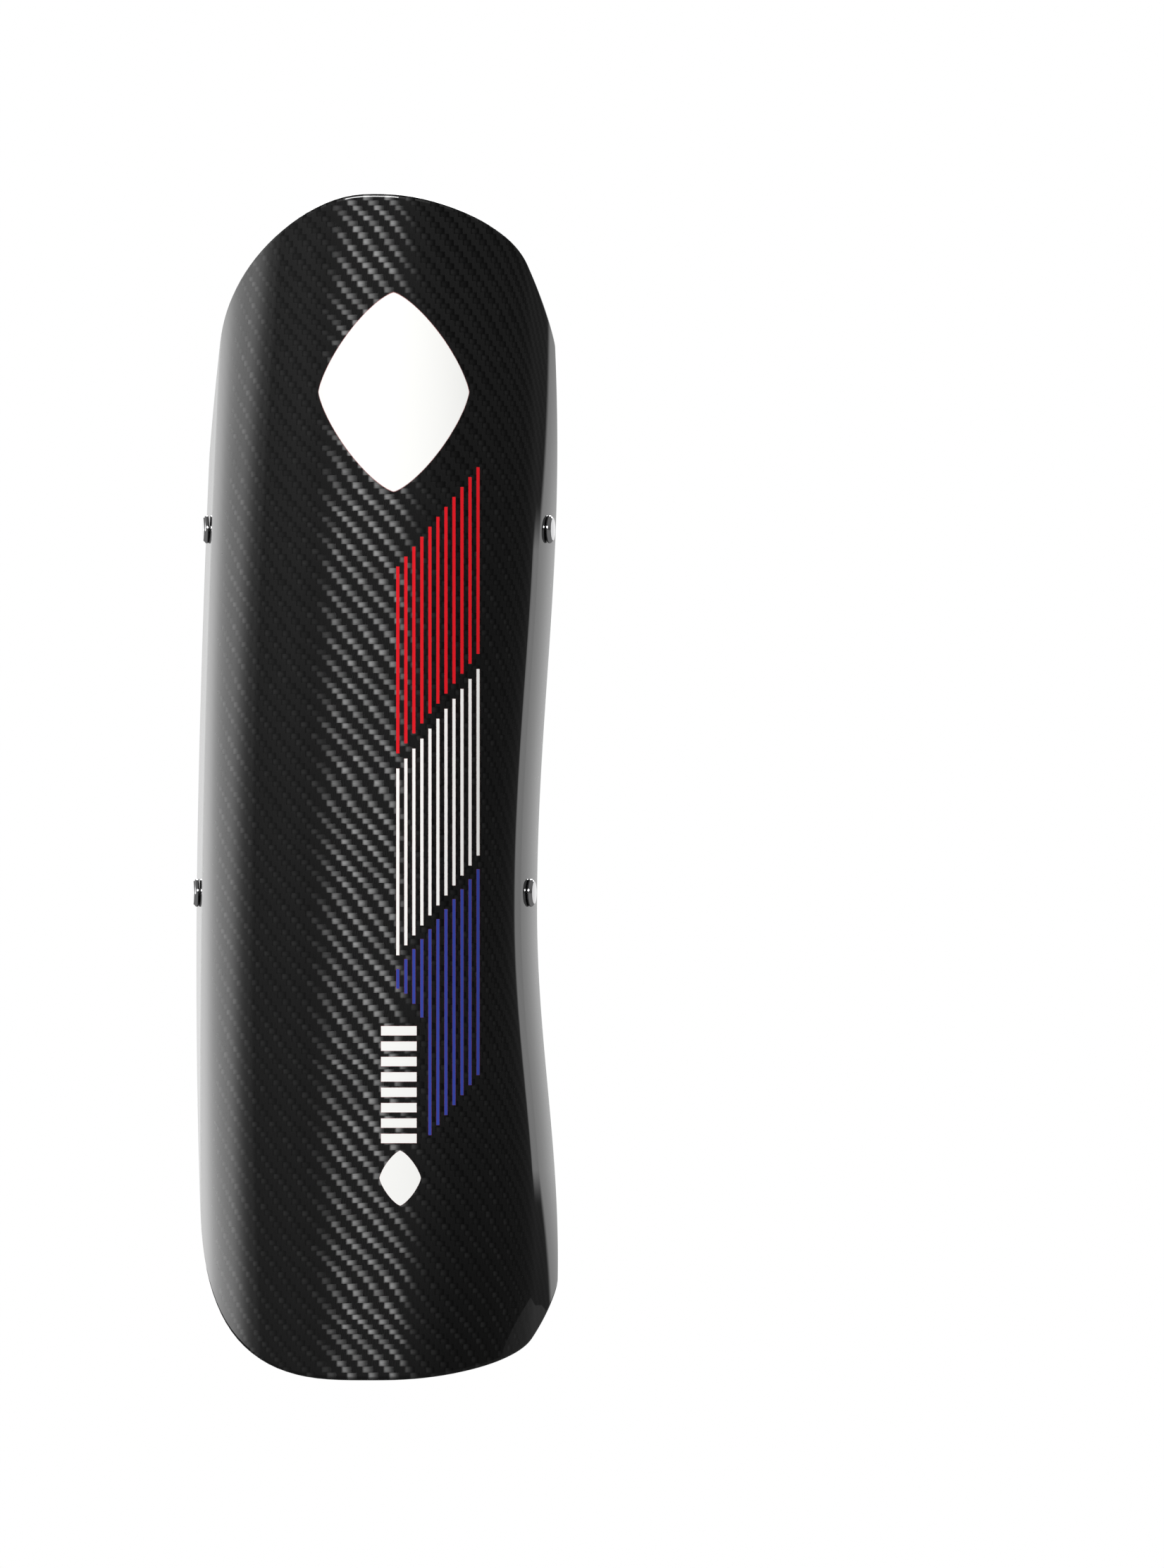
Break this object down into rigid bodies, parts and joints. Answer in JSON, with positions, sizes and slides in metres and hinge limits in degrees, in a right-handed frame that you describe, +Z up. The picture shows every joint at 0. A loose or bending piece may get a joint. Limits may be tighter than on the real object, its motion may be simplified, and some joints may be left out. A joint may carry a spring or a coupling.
{
  "type": "shin guard",
  "caption": "Carbon shin guard for slalom skiing: a deep U shell with a foam liner and riveted elastic straps that close behind the calf.",
  "frame": {"origin": "middle of the leg channel, at half of the shell's length, where the front curve meets the side walls", "axes": "+Z up the leg to the knee end, the front of the guard faces -Y, +X is the medial (inner) side of a right leg"},
  "size_m": [0.1241, 0.1323, 0.4003],
  "materials": {
    "carbon": "gloss clear coat over 2/2 twill carbon with printed graphics",
    "foam": "closed-cell EVA foam, matt",
    "lining": "brushed knit",
    "hook_tape": "hook tape",
    "loop_tape": "loop pile",
    "chrome": "polished",
    "steel": "plated",
    "nylon": "moulded",
    "grip": "moulded, ribbed",
    "webbing": "woven elastic"
  },
  "bodies": {
    "shell": {"carbon_shell": "carbon", "foam_pad_upper": "foam", "foam_pad_middle": "foam", "foam_pad_lower": "foam", "liner_cloth": "lining", "liner_hook_patches": "hook_tape", "rivet_upper_lateral": "chrome", "rivet_upper_medial": "chrome", "rivet_lower_lateral": "chrome", "rivet_lower_medial": "chrome", "rivet_back_upper_lateral": "chrome", "rivet_back_upper_medial": "chrome", "rivet_back_lower_lateral": "chrome", "rivet_back_lower_medial": "chrome", "spacer_washers": "nylon", "back_washers": "steel"},
    "upper_anchors": {"strap_anchor_upper_lateral": "webbing", "strap_anchor_upper_medial": "webbing"},
    "upper_outer_strap": {"strap_upper_outer": "webbing", "hook_patch_upper": "hook_tape", "grip_tab_upper": "grip"},
    "upper_inner_strap": {"strap_upper_inner": "webbing", "loop_patch_upper": "loop_tape"},
    "lower_anchors": {"strap_anchor_lower_lateral": "webbing", "strap_anchor_lower_medial": "webbing"},
    "lower_outer_strap": {"strap_lower_outer": "webbing", "hook_patch_lower": "hook_tape", "grip_tab_lower": "grip"},
    "lower_inner_strap": {"strap_lower_inner": "webbing", "loop_patch_lower": "loop_tape"}
  },
  "joints": [
    {"name": "upper_strap_swivel", "type": "hinge", "parent": "shell", "child": "upper_anchors", "pos_m": [-0.05618, 0.01321, 0.0875], "axis": [1, 0.0016, 0], "range_deg": [-6, 6]},
    {"name": "upper_outer_open", "type": "hinge", "parent": "upper_anchors", "child": "upper_outer_strap", "pos_m": [-0.05214, 0.0314, 0.0875], "axis": [0, 0, 1], "range_deg": [0, 95]},
    {"name": "upper_inner_open", "type": "hinge", "parent": "upper_anchors", "child": "upper_inner_strap", "pos_m": [0.05749, 0.0314, 0.0875], "axis": [0, 0, -1], "range_deg": [0, 34]},
    {"name": "lower_strap_swivel", "type": "hinge", "parent": "shell", "child": "lower_anchors", "pos_m": [-0.05953, 0.01318, -0.036], "axis": [1, 0.0025, 0], "range_deg": [-6, 6]},
    {"name": "lower_outer_open", "type": "hinge", "parent": "lower_anchors", "child": "lower_outer_strap", "pos_m": [-0.05549, 0.0314, -0.036], "axis": [0, 0, 1], "range_deg": [0, 95]},
    {"name": "lower_inner_open", "type": "hinge", "parent": "lower_anchors", "child": "lower_inner_strap", "pos_m": [0.05113, 0.0314, -0.036], "axis": [0, 0, -1], "range_deg": [0, 34]}
  ],
  "couplings": [
    {"joint": "upper_inner_open", "follows": "upper_outer_open", "ratio": 0.35},
    {"joint": "lower_inner_open", "follows": "lower_outer_open", "ratio": 0.35}
  ]
}
